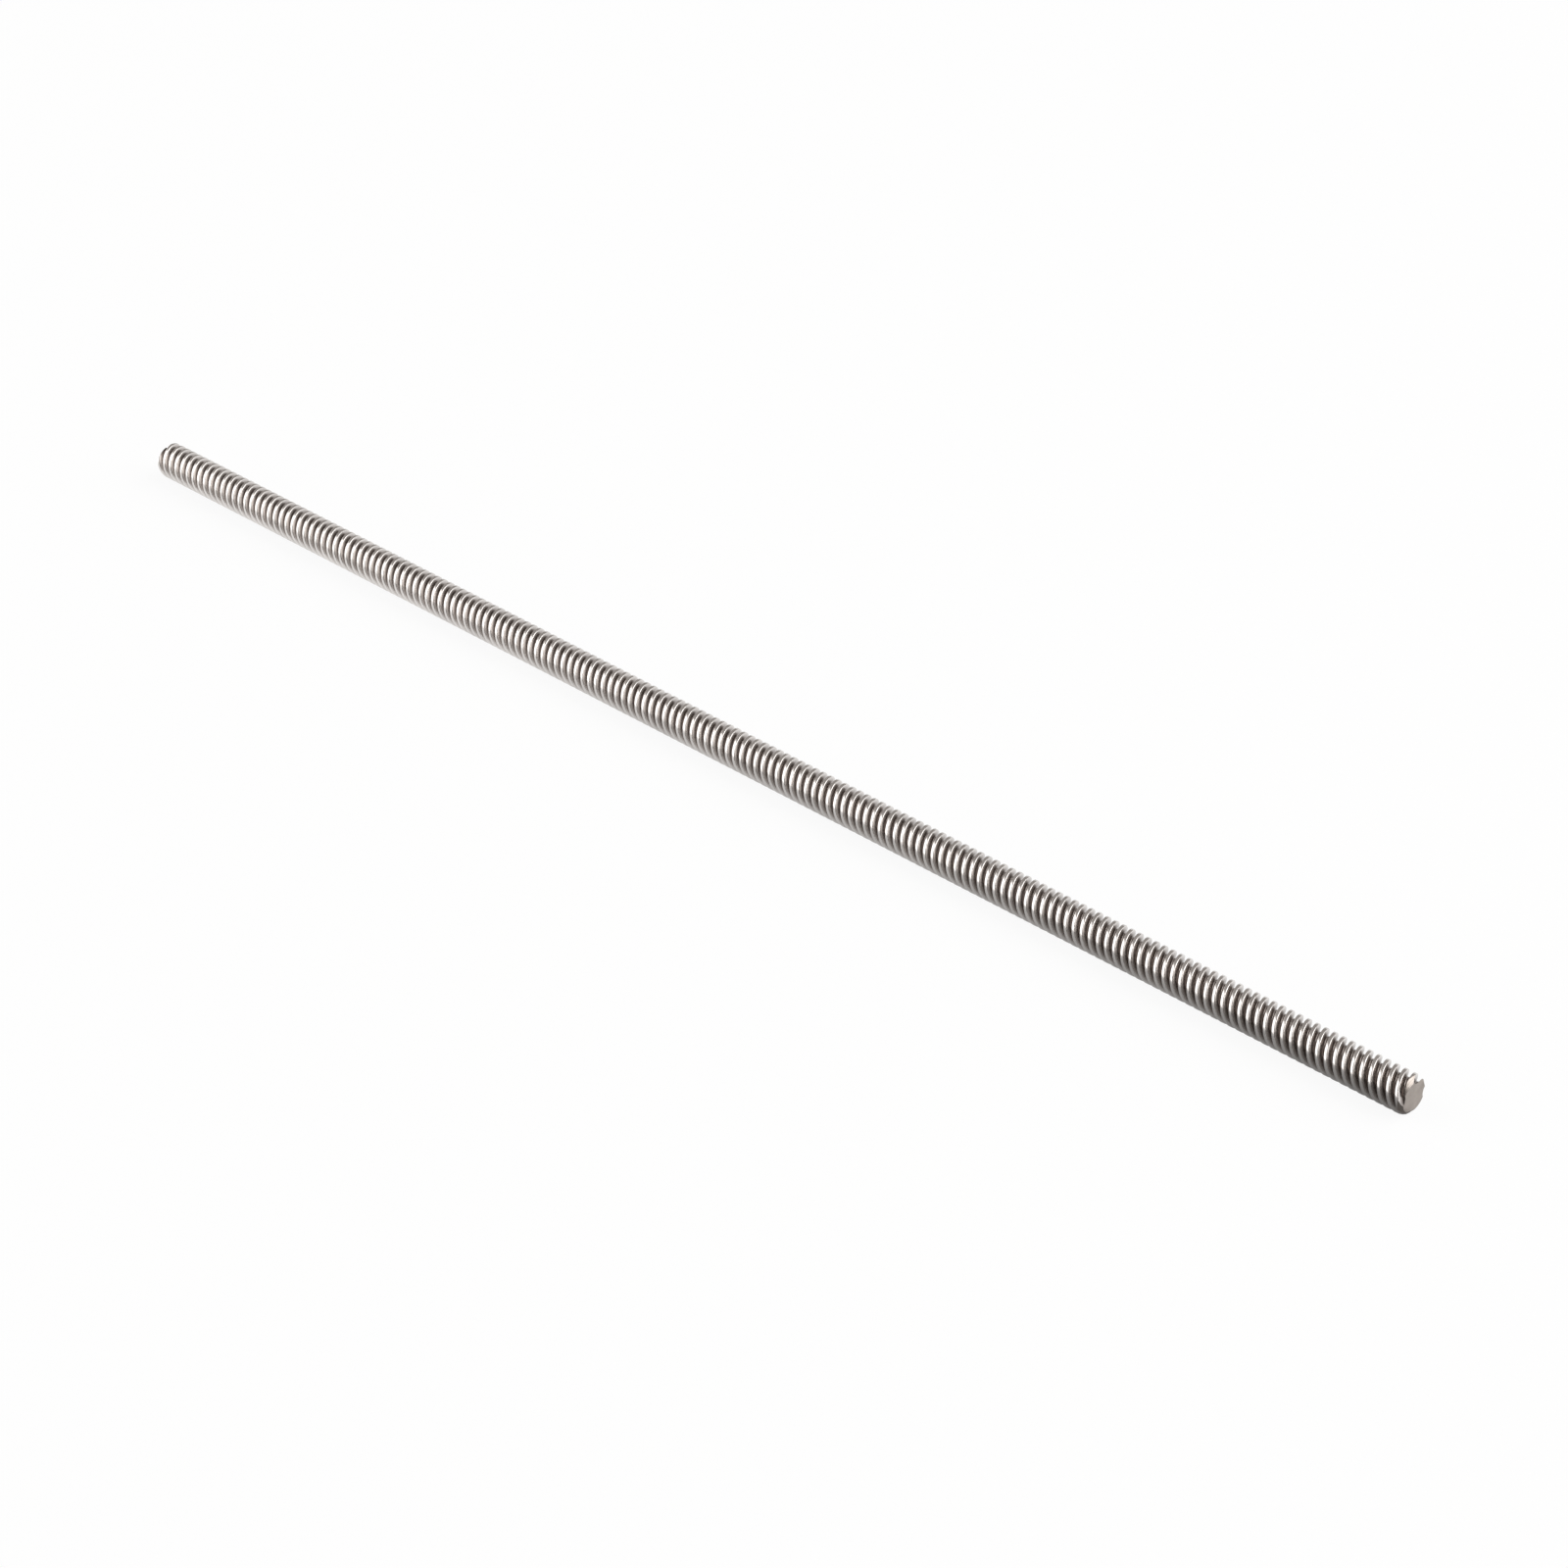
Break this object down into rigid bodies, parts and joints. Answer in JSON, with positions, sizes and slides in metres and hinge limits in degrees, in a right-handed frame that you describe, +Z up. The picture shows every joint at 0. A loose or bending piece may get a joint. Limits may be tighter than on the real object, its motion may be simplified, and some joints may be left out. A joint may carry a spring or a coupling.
{
  "type": "trapezoidal lead screw",
  "caption": "Straight steel rod with a right-hand multi-start trapezoidal thread over its whole length and chamfered ends, which drives a nut along a slide.",
  "frame": {"origin": "centre of the drive end's face, where a motor coupling grips the screw", "axes": "+X along the screw towards the support end; the screw lies level, with +Z up"},
  "size_m": [0.35, 0.008, 0.008],
  "materials": {
    "thread_steel": "stainless steel, thread rolled bright, ends turned to a fine matt face"
  },
  "bodies": {
    "root": {"lead_screw": "thread_steel"}
  },
  "joints": []
}
